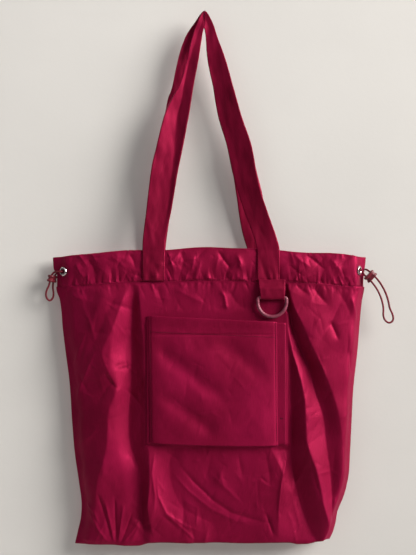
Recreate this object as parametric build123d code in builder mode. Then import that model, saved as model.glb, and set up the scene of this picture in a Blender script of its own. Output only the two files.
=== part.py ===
"""Foldable tote bag with a drawcord top, hung up by its two shoulder straps.

Millimetres. X runs across the bag, Y from the front to the back, Z up. The origin is the top of the
straps, where they lie over a peg. The bag is a flat ring of cloth in plan: six flat or nearly flat
stretches between rounded corners, split at the two side seams into a front and a back.
"""

from build123d import *
from math import cos, pi, radians, sin, tan
import os

os.makedirs("parts", exist_ok=True)

# Bag body, in plan (x, y) and in height (z)
SEAM_Y = 10.0  # the side seams lie in this plane
FRONT_Y = -12.0  # outside of the front
BACK_Y = 17.0  # outside of the back
LEFT_X, RIGHT_X = -191.0, 205.0  # side seams at the hem band
MIDDLE_X = 8.0  # the bag hangs a little to the right of its peg
FRONT_LEFT_TURN = (16.0, -2.0)  # corners of the plan: (distance in from the nearer side seam, y)
FRONT_LEFT = (60.0, FRONT_Y)
FRONT_RIGHT = (75.0, FRONT_Y)
FRONT_RIGHT_TURN = (10.0, -8.0)
BACK_CORNER = (18.0, BACK_Y)
PANEL_THICK = 0.8
CORNER_R = 3.6
BODY_LEVELS = (  # (height, left seam, right seam) from the hem down to the bottom seam
    (-338.0, -190.0, 204.5),
    (-374.0, -181.5, 202.0),
    (-430.0, -176.0, 197.0),
    (-523.0, -167.0, 188.0),
    (-620.0, -157.0, 179.0),
    (-683.0, -162.0, 158.0),
)
BOTTOM_Z = BODY_LEVELS[-1][0]
ZONE_SPARE = 20.0  # how far a cutting shape reaches past what it cuts

# Hem band: two layers of cloth with the drawcord between them
BAND_DEPTH = 5.2  # from the outside of the outer layer to the inside of the inner one
BAND_WALL = 0.6
BAND_SEAM = 1.0  # height of the solid edge above and below the cord's channel
BAND_TOP_MIDDLE, BAND_TOP_END = -304.0, -318.0
BAND_FOOT_MIDDLE, BAND_FOOT_END = -347.0, -356.0

# Eyelets in the band, and the washers that they are rolled over
EYELET_HOLE_R, EYELET_BARREL_R, EYELET_FLANGE_R = 3.0, 3.3, 6.0
EYELET_DOME, EYELET_LIP_R, EYELET_LIP = 1.1, 3.9, 0.25
EYELET_ROUND = 0.8  # width of the flange's sloping inner edge
EYELET_SHARES = {"front_left": 0.63, "front_right": 0.40, "back_right": 0.60, "back_left": 0.37}
WASHER_THICK, WASHER_R = 0.4, 4.4
LEFT_EYELET_Z, RIGHT_EYELET_Z = -334.4, -332.7

# Elastic drawcord and its two stoppers
CORD_R = 1.25
CHANNEL_SPARE, EXIT_BEND_R = 0.5, 2.2
CHANNEL_RISE = 6.0  # four times how far the cord in the band stands above a straight line
EXIT_STUB = 3.6  # the cord's straight stretch out of an eyelet
STOPPER_LONG, STOPPER_WIDE, STOPPER_DEEP = 16.0, 9.0, 9.0
STOPPER_WAIST, STOPPER_FLANGE, STOPPER_ROUND = 1.1, 3.4, 1.3
STRAND_GAP = 7.8  # between the two strands in a stopper
CORD_HOLE_R = 1.8
LEFT_STOPPER_AT = Vector(-196.0, 10.0, -343.5)
LEFT_STOPPER_AXIS = Vector(-0.2, 0, -0.98).normalized()
LEFT_STOPPER_LONG = Vector(0.4, 0.9165, -0.0816).normalized()
RIGHT_STOPPER_AT = Vector(213.5, 2.0, -340.5)
RIGHT_STOPPER_DIP = 43.0  # degrees that the strands point below level where they meet the stopper
RIGHT_TRACK_R = 66.0  # the strands droop along circles about this far from their shared centre
RIGHT_TURNS = (-7, -1, 5, 11, 17, 23, 29, 35, 41)  # degrees past the stopper
LEFT_STRAIGHT = (-8.5, 9.0)  # ends of the straight strands, along the stopper's axis

# Shoulder straps
STRAP_THICK = 1.2
STRAP_WIDE = 29.0
STRAP_FOOT_X = (-64.5, 81.5)
STRAP_FOOT_TOP, STRAP_FOOT_BOTTOM = -307.8, -346.6
STRAP_HINGE_Z = -305.0
PEG_GAP = 1.5  # half the distance between the two straps at the peg
STRAP_OUTER_LEFT = ((-61.6, 167.6), (-33.0, 66.0), (-8.0, 4.5))  # (x, distance below the strap's top)
STRAP_OUTER_RIGHT = ((8.0, 4.5), (27.5, 66.0), (59.0, 180.0))
STRAP_INNER_RIGHT = ((25.5, 170.0), (0.0, 23.0))
STRAP_INNER_LEFT = ((0.0, 23.0), (-24.5, 167.6))

# D-ring on its tab
RING_WIRE_R = 2.2
RING_X, RING_Z = 86.3, -367.5  # middle of the ring's straight bar
RING_INSIDE = 32.0
RING_REACH = 24.0  # from the bar to the far end of the ring, centre to centre
RING_CORNER_R = 2.8
TAB_WIDE, TAB_THICK = 30.4, 0.8
TAB_CLEAR = 0.05
TAB_TOP = -347.3
TAB_BACK_GAP = 0.6  # the tab stands this far off the front
TAB_LAYER_GAP = 0.2  # between the tab's two layers, where they meet at the top
RING_Y = FRONT_Y - TAB_BACK_GAP - TAB_THICK - TAB_CLEAR - RING_WIRE_R

# Pocket on the front
POCKET_LEFT, POCKET_RIGHT = -71.0, 92.5
POCKET_TOP, POCKET_FOOT = -394.4, -553.0
POCKET_BULGE, POCKET_FOOT_BULGE = 7.0, 0.4
POCKET_CLOTH = 0.8
BACKING_LEFT, BACKING_RIGHT = -82.0, 104.0
BACKING_TOP, BACKING_FOOT = -388.0, -557.0


# Plan of the bag -------------------------------------------------------------------------------


def plan_corners(left, right):
    """The bag's outline in plan, from the left side seam round the front and back to it."""
    return [
        (left, SEAM_Y),
        (left + FRONT_LEFT_TURN[0], FRONT_LEFT_TURN[1]),
        (left + FRONT_LEFT[0], FRONT_Y),
        (right - FRONT_RIGHT[0], FRONT_Y),
        (right - FRONT_RIGHT_TURN[0], FRONT_RIGHT_TURN[1]),
        (right, SEAM_Y),
        (right - BACK_CORNER[0], BACK_Y),
        (left + BACK_CORNER[0], BACK_Y),
    ]


def plan_face(height, left, right, inset=0.0):
    """The filled outline at one height, drawn in by inset."""
    with BuildSketch(Plane.XY.offset(height)) as section:
        with BuildLine():
            Polyline(*plan_corners(left, right), close=True)
        make_face()
        fillet(section.vertices(), CORNER_R)
        if inset:
            offset(amount=-inset, kind=Kind.INTERSECTION)
    return section.sketch


def band_height(x, middle, end):
    """Height of a hem line that is highest in the middle and drops to both side seams."""
    half = (RIGHT_X - LEFT_X) / 2
    return middle + (end - middle) * ((x - MIDDLE_X) / half) ** 2


def hem_line(middle, end):
    """Three points of a hem line, from past the left side seam to past the right one."""
    places = (LEFT_X - ZONE_SPARE, MIDDLE_X, RIGHT_X + ZONE_SPARE)
    return [(x, band_height(x, middle, end)) for x in places]


def seen_from_front(top, foot):
    """Everything between two hem lines, in front of, inside and behind the bag."""
    with BuildPart() as zone:
        with BuildSketch(Plane.XZ):
            with BuildLine():
                ThreePointArc(*top)
                Line(top[2], foot[2])
                ThreePointArc(*reversed(foot))
                Line(foot[0], top[0])
            make_face()
        extrude(amount=ZONE_SPARE + BACK_Y - FRONT_Y, both=True)
    return zone.part


def band_zone(inset):
    """The space that the hem band takes seen from the front, drawn in by inset."""
    top = hem_line(BAND_TOP_MIDDLE - inset, BAND_TOP_END - inset)
    foot = hem_line(BAND_FOOT_MIDDLE + inset, BAND_FOOT_END + inset)
    return seen_from_front(top, foot)


def below_band():
    """Everything below the hem band's foot."""
    top = hem_line(BAND_FOOT_MIDDLE, BAND_FOOT_END)
    deep = BOTTOM_Z - ZONE_SPARE
    return seen_from_front(top, hem_line(deep, deep - 1))


def half_of(whole, half, gap=0.0):
    """The front or back half of a ring of cloth, kept back from the plane of the side seams by gap."""
    sign = 1 if half == "front" else -1
    seam_plane = Plane(origin=(0, SEAM_Y - sign * gap, 0), z_dir=(0, -sign, 0))
    with BuildPart() as piece:
        add(whole)
        split(bisect_by=seam_plane, keep=Keep.TOP)
    return piece.part


# Eyelets, given as (name, middle on the outside of the band, direction out of the band) -------------


def on_stretch(start, end, share, height):
    """A point on one stretch of the outline, and the direction that points out of the bag there."""
    along = Vector(end[0] - start[0], end[1] - start[1], 0)
    place = Vector(start[0], start[1], height) + along * share
    return place, Vector(along.Y, -along.X, 0).normalized()


CORNERS = plan_corners(LEFT_X, RIGHT_X)
EYELETS = {
    "front_left": on_stretch(CORNERS[0], CORNERS[1], EYELET_SHARES["front_left"], LEFT_EYELET_Z),
    "front_right": on_stretch(CORNERS[4], CORNERS[5], EYELET_SHARES["front_right"], RIGHT_EYELET_Z),
    "back_right": on_stretch(CORNERS[5], CORNERS[6], EYELET_SHARES["back_right"], RIGHT_EYELET_Z),
    "back_left": on_stretch(CORNERS[7], CORNERS[0], EYELET_SHARES["back_left"], LEFT_EYELET_Z),
}


def eyelet_plane(name):
    place, outward = EYELETS[name]
    return Plane(origin=place, x_dir=(0, 0, 1), z_dir=outward)


def revolved_ring(plane, outline):
    """A ring about the plane's own Z axis, from an outline of (radius, height) points."""
    across = Plane(origin=plane.origin, x_dir=plane.x_dir, z_dir=plane.y_dir * -1)
    with BuildPart() as ring:
        with BuildSketch(across):
            with BuildLine():
                Polyline(*outline, close=True)
            make_face()
        revolve(axis=Axis(plane.origin, plane.z_dir))
    return ring.part


# Cord ------------------------------------------------------------------------------------------


def bends(points):
    """For each corner of a route: half its turn in radians, and the shorter of the two runs beside it."""
    for before, corner, after in zip(points, points[1:], points[2:]):
        first, second = corner - before, after - corner
        yield radians(first.get_angle(second)) / 2, min(first.length, second.length)


def bend_radii(points):
    """One radius for each corner of a route: 0.45 of the shorter run over the tangent of half the turn."""
    return [0.45 * run / tan(half_turn) for half_turn, run in bends(points)]


def channel_radii(points):
    """The radii inside the band, where an arc may pass its corner by CHANNEL_SPARE at most."""
    radii = [
        min(radius, CORD_R + CHANNEL_SPARE / (1 / cos(half_turn) - 1))
        for radius, (half_turn, run) in zip(bend_radii(points), bends(points))
    ]
    return [EXIT_BEND_R, *radii[1:-1], EXIT_BEND_R]


def cord_along(points, radii, name):
    """A round cord along straight runs and tangent arcs."""
    with BuildPart() as cord:
        with BuildLine():
            route = FilletPolyline(*points, radius=radii)
        with BuildSketch(Plane(origin=route @ 0, z_dir=route % 0)):
            Circle(CORD_R)
        sweep()
    length = route.length
    share = cord.part.volume / (pi * CORD_R**2 * length)
    print(f"{name}: length {length:.1f} mm, volume share {share:.4f}, radii", [round(r, 1) for r in radii])
    return cord.part


def channel_route(corners, first, last):
    """The route of the cord inside the band, from one eyelet to the other one on the same half."""
    depth = BAND_DEPTH / 2
    start, start_out = EYELETS[first]
    end, end_out = EYELETS[last]
    route = [start, start - start_out * depth]
    for before, corner, after in zip(corners, corners[1:], corners[2:]):
        out_1 = on_stretch(before, corner, 0, 0)[1]
        out_2 = on_stretch(corner, after, 0, 0)[1]
        inward = (out_1 + out_2) * (depth / (1 + out_1.dot(out_2)))
        share = (corner[0] - start.X) / (end.X - start.X)
        height = start.Z + (end.Z - start.Z) * share + CHANNEL_RISE * share * (1 - share)
        route.append(Vector(corner[0], corner[1], height) - inward)
    return route + [end - end_out * depth, end]


def track_point(turn, side):
    """A point of the right loop's strands: turn degrees past the stopper, on the outer or inner strand."""
    angle = radians(RIGHT_STOPPER_DIP + turn)
    reach = RIGHT_TRACK_R + side * STRAND_GAP / 2
    centre = RIGHT_TRACK_CENTRE
    return Vector(centre.X + reach * sin(angle), RIGHT_STOPPER_AT.Y, centre.Z + reach * cos(angle))


dip = radians(RIGHT_STOPPER_DIP)
RIGHT_STOPPER_LONG = Vector(sin(dip), 0, cos(dip))
RIGHT_STOPPER_AXIS = Vector(cos(dip), 0, -sin(dip))
RIGHT_TRACK_CENTRE = RIGHT_STOPPER_AT - RIGHT_STOPPER_LONG * RIGHT_TRACK_R


def right_loop_route():
    start, start_out = EYELETS["front_right"]
    end, end_out = EYELETS["back_right"]
    return [
        start,
        start + start_out * EXIT_STUB,
        *[track_point(turn, -1) for turn in RIGHT_TURNS],
        Vector(229.6, 2.0, -390.4),
        Vector(231.8, 2.0, -397.2),
        Vector(237.6, 2.0, -401.0),
        Vector(242.8, 2.0, -397.4),
        Vector(242.4, 2.0, -390.2),
        *[track_point(turn, 1) for turn in reversed(RIGHT_TURNS)],
        Vector(207.6, 11.5, -331.2),
        end + end_out * EXIT_STUB,
        end,
    ]


def left_loop_route():
    start, start_out = EYELETS["front_left"]
    end, end_out = EYELETS["back_left"]
    front = LEFT_STOPPER_AT - LEFT_STOPPER_LONG * (STRAND_GAP / 2)
    back = LEFT_STOPPER_AT + LEFT_STOPPER_LONG * (STRAND_GAP / 2)
    above, below = LEFT_STRAIGHT
    return [
        start,
        start + start_out * EXIT_STUB,
        front + LEFT_STOPPER_AXIS * above,
        front + LEFT_STOPPER_AXIS * below,
        Vector(-202.8, 7.2, -358.0),
        Vector(-204.2, 8.3, -364.0),
        Vector(-202.8, 9.3, -369.6),
        Vector(-199.0, 10.4, -372.4),
        Vector(-195.6, 11.6, -369.2),
        Vector(-194.4, 12.8, -363.4),
        back + LEFT_STOPPER_AXIS * below,
        back + LEFT_STOPPER_AXIS * above,
        end + end_out * EXIT_STUB,
        end,
    ]


# Parts -----------------------------------------------------------------------------------------


def save(piece, name):
    piece.label = name
    export_step(piece, f"parts/{name}.step")


def lofted(inset):
    """The whole bag body as one filled solid, drawn in by inset."""
    with BuildPart() as body:
        for level in BODY_LEVELS:
            add(plan_face(*level, inset=inset))
        loft()
    return body.part


body_shell = lofted(0) - lofted(PANEL_THICK)
body_cloth = body_shell & below_band()
for half in ("front", "back"):
    save(half_of(body_cloth, half), f"{half}_panel")

with BuildPart() as bottom_panel:
    add(plan_face(*BODY_LEVELS[-1]))
    extrude(amount=-PANEL_THICK)
save(bottom_panel.part, "bottom_panel")


def band_ring(outer_inset, inner_inset, zone_inset):
    """A ring of the band's plan, between two insets, cut to the band's shape."""
    top, foot = BAND_TOP_MIDDLE + ZONE_SPARE, BAND_FOOT_END - ZONE_SPARE
    with BuildPart() as ring:
        add(plan_face(foot, LEFT_X, RIGHT_X, outer_inset))
        extrude(amount=top - foot)
        with BuildSketch(Plane.XY.offset(foot)):
            add(plan_face(0, LEFT_X, RIGHT_X, inner_inset))
        extrude(amount=top - foot, mode=Mode.SUBTRACT)
    return ring.part & band_zone(zone_inset)


band_outside = band_ring(0, BAND_DEPTH, 0)
band_channel = band_ring(BAND_WALL, BAND_DEPTH - BAND_WALL, BAND_SEAM)


def eyelet_cut(name):
    """The hole that an eyelet's barrel fills, through the band's outer layer into its channel."""
    with BuildPart() as cut:
        with BuildSketch(eyelet_plane(name).offset(BAND_WALL)):
            Circle(EYELET_BARREL_R)
        extrude(amount=-(BAND_DEPTH / 2 + BAND_WALL))
    return cut.part


for half in ("front", "back"):
    top_band = half_of(band_outside, half) - half_of(band_channel, half, gap=BAND_WALL)
    for side in ("left", "right"):
        top_band -= eyelet_cut(f"{half}_{side}")
    save(top_band, f"{half}_top_band")

WASHER_BACK = -BAND_WALL - WASHER_THICK
FLANGE_OUTLINE = [
    (EYELET_HOLE_R, WASHER_BACK - EYELET_LIP),
    (EYELET_LIP_R, WASHER_BACK - EYELET_LIP),
    (EYELET_LIP_R, WASHER_BACK),
    (EYELET_BARREL_R, WASHER_BACK),
    (EYELET_BARREL_R, 0),
    (EYELET_FLANGE_R, 0),
    (EYELET_FLANGE_R - 0.3, EYELET_DOME * 0.6),
    (EYELET_FLANGE_R - 1.2, EYELET_DOME),
    (EYELET_HOLE_R + EYELET_ROUND, EYELET_DOME),
    (EYELET_HOLE_R, EYELET_DOME * 0.5),
]
WASHER_OUTLINE = [
    (EYELET_BARREL_R, WASHER_BACK),
    (WASHER_R, WASHER_BACK),
    (WASHER_R, -BAND_WALL),
    (EYELET_BARREL_R, -BAND_WALL),
]
for name in EYELETS:
    save(revolved_ring(eyelet_plane(name), FLANGE_OUTLINE), f"{name}_eyelet")
    save(revolved_ring(eyelet_plane(name), WASHER_OUTLINE), f"{name}_washer")

front_route = channel_route(CORNERS[0:6], "front_left", "front_right")
save(cord_along(front_route, channel_radii(front_route), "front_channel_cord"), "front_channel_cord")
back_route = channel_route(CORNERS[5:8] + CORNERS[0:1], "back_right", "back_left")
save(cord_along(back_route, channel_radii(back_route), "back_channel_cord"), "back_channel_cord")
for name, route in (("left_cord_loop", left_loop_route()), ("right_cord_loop", right_loop_route())):
    save(cord_along(route, bend_radii(route), name), name)


def cord_stopper(place, axis, long_way):
    """A rounded two-hole stopper with a groove round its middle."""
    plane = Plane(origin=place, x_dir=long_way, z_dir=axis)
    half = STOPPER_DEEP / 2
    with BuildPart() as stopper:
        for start in (-half, half - STOPPER_FLANGE):
            with BuildSketch(plane.offset(start)):
                SlotOverall(STOPPER_LONG, STOPPER_WIDE)
            extrude(amount=STOPPER_FLANGE)
        fillet(stopper.edges(), STOPPER_ROUND)
        with BuildSketch(plane.offset(-half + STOPPER_FLANGE / 2)):
            SlotOverall(STOPPER_LONG - 2 * STOPPER_WAIST, STOPPER_WIDE - 2 * STOPPER_WAIST)
        extrude(amount=STOPPER_DEEP - STOPPER_FLANGE)
        with BuildSketch(plane.offset(-half)):
            with GridLocations(STRAND_GAP, 0, 2, 1):
                Circle(CORD_HOLE_R)
        extrude(amount=STOPPER_DEEP, mode=Mode.SUBTRACT)
    return stopper.part


save(cord_stopper(LEFT_STOPPER_AT, LEFT_STOPPER_AXIS, LEFT_STOPPER_LONG), "left_cord_stopper")
save(cord_stopper(RIGHT_STOPPER_AT, RIGHT_STOPPER_AXIS, RIGHT_STOPPER_LONG), "right_cord_stopper")


def shoulder_strap(hinge_y, peg_y):
    """One strap from its two feet up to the peg, as a flat band that leans from the bag to the peg."""
    rise = Vector(0, peg_y - hinge_y, -STRAP_HINGE_Z)
    plane = Plane(origin=(0, hinge_y, STRAP_HINGE_Z), x_dir=(1, 0, 0), z_dir=Vector(1, 0, 0).cross(rise))
    top, half = rise.length, STRAP_WIDE / 2
    left, right = STRAP_FOOT_X

    def at(places):
        return [(x, top - below) for x, below in places]

    with BuildPart() as strap:
        with BuildSketch(plane):
            with BuildLine():
                Spline((left - half, 0), *at(STRAP_OUTER_LEFT))
                ThreePointArc(*at((STRAP_OUTER_LEFT[-1], (0, 0), STRAP_OUTER_RIGHT[0])))
                Spline(*at(STRAP_OUTER_RIGHT), (right + half, 0))
                Line((right + half, 0), (right - half, 0))
                Spline((right - half, 0), *at(STRAP_INNER_RIGHT))
                Spline(*at(STRAP_INNER_LEFT), (left + half, 0))
                Line((left + half, 0), (left - half, 0))
            make_face()
        extrude(amount=STRAP_THICK / 2, both=True)
    return strap.part


FRONT_HINGE_Y = FRONT_Y - STRAP_THICK / 2
BACK_HINGE_Y = BACK_Y + STRAP_THICK / 2
save(shoulder_strap(FRONT_HINGE_Y, -PEG_GAP), "front_strap")
save(shoulder_strap(BACK_HINGE_Y, PEG_GAP), "back_strap")


def strap_feet(middle_y):
    """The two sewn-down feet of one strap."""
    height = STRAP_FOOT_TOP - STRAP_FOOT_BOTTOM
    middle_z = (STRAP_FOOT_TOP + STRAP_FOOT_BOTTOM) / 2
    with BuildPart() as feet:
        with Locations(*[(x, middle_y, middle_z) for x in STRAP_FOOT_X]):
            Box(STRAP_WIDE, STRAP_THICK, height)
    return feet.part


save(strap_feet(FRONT_HINGE_Y), "front_strap_feet")
save(strap_feet(BACK_HINGE_Y), "back_strap_feet")



def tab_outline(r, top):
    """Half of the tab's side view: down the front, round the bar at radius r, and up the back."""
    front, back = (RING_Y - r, RING_Z), (RING_Y + r, RING_Z)
    shoulder = (RING_Y - r, RING_Z + TAB_OUTER_R)
    with BuildLine() as outline:
        Polyline(front, shoulder, *top, back)
        ThreePointArc(back, (RING_Y, RING_Z - r), front)
    return outline.line


# A tab of strap folded round the D-ring's bar; its two layers meet at the top
TAB_INNER_R = RING_WIRE_R + TAB_CLEAR
TAB_OUTER_R = TAB_INNER_R + TAB_THICK
with BuildPart() as d_ring_tab:
    with BuildSketch(Plane.YZ.offset(RING_X - TAB_WIDE / 2)):
        with BuildLine():
            front_layer = RING_Y + TAB_OUTER_R - 2 * TAB_THICK - TAB_LAYER_GAP
            add(tab_outline(TAB_OUTER_R, [(front_layer, TAB_TOP), (RING_Y + TAB_OUTER_R, TAB_TOP)]))
        make_face()
        with BuildLine():
            add(tab_outline(TAB_INNER_R, [(RING_Y + TAB_INNER_R, TAB_TOP - 2 * TAB_THICK)]))
        make_face(mode=Mode.SUBTRACT)
    extrude(amount=TAB_WIDE)
save(d_ring_tab.part, "d_ring_tab")

with BuildPart() as d_ring:
    half = RING_INSIDE / 2 + RING_WIRE_R
    sides = RING_REACH - half
    bar_end = half - RING_CORNER_R
    with BuildLine(Plane(origin=(RING_X, RING_Y, RING_Z), x_dir=(1, 0, 0), z_dir=(0, -1, 0))):
        Line((0, 0), (bar_end, 0))
        RadiusArc((bar_end, 0), (half, -RING_CORNER_R), RING_CORNER_R)
        Line((half, -RING_CORNER_R), (half, -sides))
        ThreePointArc((half, -sides), (0, -sides - half), (-half, -sides))
        Line((-half, -sides), (-half, -RING_CORNER_R))
        RadiusArc((-half, -RING_CORNER_R), (-bar_end, 0), RING_CORNER_R)
        Line((-bar_end, 0), (0, 0))
    with BuildSketch(Plane(origin=(RING_X, RING_Y, RING_Z), z_dir=(1, 0, 0))):
        Circle(RING_WIRE_R)
    sweep()
save(d_ring.part, "d_ring")

# Pocket: a flat backing sewn to the front, and a front piece that stands off it
POCKET_Y = FRONT_Y - POCKET_CLOTH
with BuildPart() as pocket_backing:
    middle_x, middle_z = (BACKING_LEFT + BACKING_RIGHT) / 2, (BACKING_TOP + BACKING_FOOT) / 2
    with Locations((middle_x, FRONT_Y - POCKET_CLOTH / 2, middle_z)):
        Box(BACKING_RIGHT - BACKING_LEFT, POCKET_CLOTH, BACKING_TOP - BACKING_FOOT)
save(pocket_backing.part, "pocket_backing")


def pocket_section(height, bulge, thick):
    """The pocket's front cloth in plan: a shallow arch with its two ends on the backing."""
    middle = (POCKET_LEFT + POCKET_RIGHT) / 2
    outside = POCKET_Y - thick
    with BuildSketch(Plane.XY.offset(height)) as section:
        with BuildLine():
            ThreePointArc((POCKET_LEFT, outside), (middle, outside - bulge), (POCKET_RIGHT, outside))
            Line((POCKET_RIGHT, outside), (POCKET_RIGHT, POCKET_Y))
            ThreePointArc((POCKET_RIGHT, POCKET_Y), (middle, POCKET_Y - bulge), (POCKET_LEFT, POCKET_Y))
            Line((POCKET_LEFT, POCKET_Y), (POCKET_LEFT, outside))
        make_face()
    return section.sketch


POCKET_MIDDLE_Z = (POCKET_TOP + POCKET_FOOT) / 2
POCKET_LEVELS = (  # (height, bulge)
    (POCKET_TOP, POCKET_BULGE),
    (POCKET_MIDDLE_Z, POCKET_BULGE),
    (POCKET_FOOT, POCKET_FOOT_BULGE),
)
with BuildPart() as pocket_front:
    for height, bulge in POCKET_LEVELS:
        add(pocket_section(height, bulge, POCKET_CLOTH))
    loft()
save(pocket_front.part, "pocket_front")
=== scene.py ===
"""Looks of the foldable tote bag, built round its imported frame. Metres, in the frame of the part."""

import math
import bmesh
import bpy
import numpy as np
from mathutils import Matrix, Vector
from mathutils.bvhtree import BVHTree


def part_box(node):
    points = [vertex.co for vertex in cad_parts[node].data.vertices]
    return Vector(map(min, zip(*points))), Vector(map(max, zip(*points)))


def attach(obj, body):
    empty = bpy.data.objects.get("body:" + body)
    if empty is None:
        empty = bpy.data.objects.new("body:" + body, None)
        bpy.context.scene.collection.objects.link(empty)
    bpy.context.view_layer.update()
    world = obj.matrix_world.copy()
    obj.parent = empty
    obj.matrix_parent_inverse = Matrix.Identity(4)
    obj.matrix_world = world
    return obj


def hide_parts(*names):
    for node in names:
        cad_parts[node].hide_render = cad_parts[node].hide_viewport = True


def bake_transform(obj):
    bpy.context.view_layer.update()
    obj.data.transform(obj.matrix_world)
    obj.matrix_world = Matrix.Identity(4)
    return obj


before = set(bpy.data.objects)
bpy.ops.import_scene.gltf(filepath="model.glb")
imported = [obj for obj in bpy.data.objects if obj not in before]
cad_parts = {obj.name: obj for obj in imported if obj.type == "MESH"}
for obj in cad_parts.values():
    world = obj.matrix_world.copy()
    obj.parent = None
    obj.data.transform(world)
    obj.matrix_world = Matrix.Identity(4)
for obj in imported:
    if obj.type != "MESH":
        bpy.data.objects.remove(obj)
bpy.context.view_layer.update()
MM = 0.001

# Driving dimensions. Lengths from the frame are in metres; tables below are in millimetres.
band_low, band_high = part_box("front_top_band")
pocket_low, pocket_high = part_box("pocket_front")
backing_low, backing_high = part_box("pocket_backing")
tab_low, tab_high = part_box("d_ring_tab")
ring_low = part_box("d_ring")[0]
SEAM_Y = band_high.y
FRONT_Y = band_low.y
BACK_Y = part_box("back_top_band")[1].y
BOTTOM_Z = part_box("bottom_panel")[0].z
LEFT_X, RIGHT_X = -191 * MM, 205 * MM  # side seams at the hem
MIDDLE_X = 8 * MM
SIDE_SPREAD = 1.016  # the side seams lie behind the front, so the camera sees them nearer the middle
BAND_DEPTH = 5.2 * MM
CLOTH = 0.35 * MM  # thickness
SEAM_GROOVE = 0.9 * MM  # how far the hem's stitch line draws the cloth in


# --- Shaping helpers ---


def eased(at, known, values):
    """Values at places along a line, between known ones, on a smooth curve through them."""
    known, values = np.asarray(known, float), np.asarray(values, float)
    if known[0] > known[-1]:
        known, values = known[::-1], values[::-1]
    at = np.clip(np.asarray(at, float), known[0], known[-1])
    slopes = np.gradient(values, known)
    i = np.clip(np.searchsorted(known, at) - 1, 0, len(known) - 2)
    span = known[i + 1] - known[i]
    t = (at - known[i]) / span
    start = values[i] * (2 * t**3 - 3 * t**2 + 1) + slopes[i] * span * (t**3 - 2 * t**2 + t)
    return start + values[i + 1] * (3 * t**2 - 2 * t**3) + slopes[i + 1] * span * (t**3 - t**2)


def step(x, low, high):
    """0 at low and 1 at high, with a smooth rise between; low may be the larger."""
    t = np.clip((np.asarray(x, float) - low) / (high - low), 0, 1)
    return t * t * (3 - 2 * t)


def bell(x, width):
    """A soft round ridge's profile."""
    return np.exp(-((x / width) ** 2))


def crisp(x, width):
    """A ridge's profile with a sharp crest and hollow flanks, as folded cloth has."""
    round_top = 0.22 * width
    return np.exp(-(np.sqrt(x * x + round_top**2) - round_top) / width)


def inside(x, z, low, high, soft):
    """1 inside a rectangle seen from the front, falling to 0 over soft outside it."""
    between = step(x, low.x - soft, low.x) * step(x, high.x + soft, high.x)
    return between * step(z, low.z - soft, low.z) * step(z, high.z + soft, high.z)


def crease(x, z, height, width, line, profile):
    """A ridge (or a furrow, if height is negative) along a flat list of x, z, x, z..., all in mm."""
    line = np.array(line, float).reshape(-1, 2) * MM
    nearest = np.full(np.shape(x), np.inf)
    share = np.zeros(np.shape(x))
    for number, (start, end) in enumerate(zip(line, line[1:])):
        run = end - start
        t = ((x - start[0]) * run[0] + (z - start[1]) * run[1]) / (run @ run)
        held = np.clip(t, 0, 1)
        away = np.hypot(x - start[0] - held * run[0], z - start[1] - held * run[1])
        closer = away < nearest
        nearest = np.where(closer, away, nearest)
        share = np.where(closer, (number + held) / (len(line) - 1), share)
    fade = step(share, 0, 0.25) * step(share, 1, 0.65)
    return height * MM * profile(nearest, width * MM) * fade


def creases(x, z, table, profile=crisp):
    """All ridges and furrows of a table together."""
    return sum(crease(x, z, height, width, line, profile) for height, width, *line in table)


def ripples(x, z, size, height, seed, count=9):
    """Uneven soft waves, a sum of plane waves with seeded directions."""
    pick = np.random.default_rng(seed)
    out = np.zeros(np.shape(x))
    for _ in range(count):
        angle, phase = pick.uniform(0, math.tau, 2)
        length = size * pick.uniform(0.7, 1.6)
        out = out + np.sin((x * math.cos(angle) + z * math.sin(angle)) * math.tau / length + phase)
    return out * height / math.sqrt(count)


def crumples(x, z, seed, count, height, size=(14, 46), widths=(1.4, 5.0), levels=(-690, -340), tilt=0.6):
    """Many short sharp creases between two levels, most of them upright. Only height is in metres."""
    pick = np.random.default_rng(seed)
    out = np.zeros(np.shape(x))
    for _ in range(count):
        middle_x, middle_z = pick.uniform(-190, 204) * MM, pick.uniform(*levels) * MM
        angle, length = math.pi / 2 + pick.normal(0, tilt), pick.uniform(*size) * MM
        width = pick.uniform(*widths) * MM
        rise = height * pick.uniform(-1, 1) * (0.4 + width / (widths[1] * MM))
        bow = pick.uniform(-6, 6)
        near = (np.abs(x - middle_x) < length) & (np.abs(z - middle_z) < length)
        across, up = x[near] - middle_x, z[near] - middle_z
        along = across * math.cos(angle) + up * math.sin(angle)
        away = up * math.cos(angle) - across * math.sin(angle) + bow * along**2
        out[near] += rise * crisp(away, width) * np.maximum(0, 1 - (along / length) ** 2) ** 2
    return out


def gathers(x, depth, seed, height, reach):
    """Small upright puckers beside a gathered seam, held flat on the seam itself."""
    pick = np.random.default_rng(seed)
    out = np.zeros(np.shape(x))
    for place in np.arange(-205, 220, 3.3) * MM:
        here = place + pick.uniform(-1.6, 1.6) * MM
        lean, length = pick.uniform(-0.45, 0.45), reach * pick.uniform(0.35, 1.4)
        rise, width = height * pick.uniform(-1.0, 1.0), pick.uniform(0.9, 2.2) * MM
        near = np.abs(x - here) < 20 * MM
        wave = crisp(x - here - lean * depth, width + 0.06 * depth) * bell(depth, length)
        out = out + np.where(near, rise * wave, 0)
    return out * step(depth, 0, 3.5 * MM)


def running_length(line):
    """How far along the line each of its points is."""
    return np.concatenate([[0], np.cumsum(np.linalg.norm(np.diff(line, axis=0), axis=1))])


def smoothed(values, times):
    """Draws each row towards its neighbours, in place; the two end rows stay."""
    for _ in range(times):
        values[1:-1] = (values[:-2] + 2 * values[1:-1] + values[2:]) / 4
    return values


def rounded(corners, count, times):
    """A line through 2-D corners as evenly spaced points, with its corners rounded off."""
    corners = np.array(corners)
    along = running_length(corners)
    at = np.linspace(0, along[-1], count)
    return smoothed(np.stack([np.interp(at, along, corners[:, k]) for k in (0, 1)], axis=1), times)


# --- Outline of the bag ---

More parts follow.
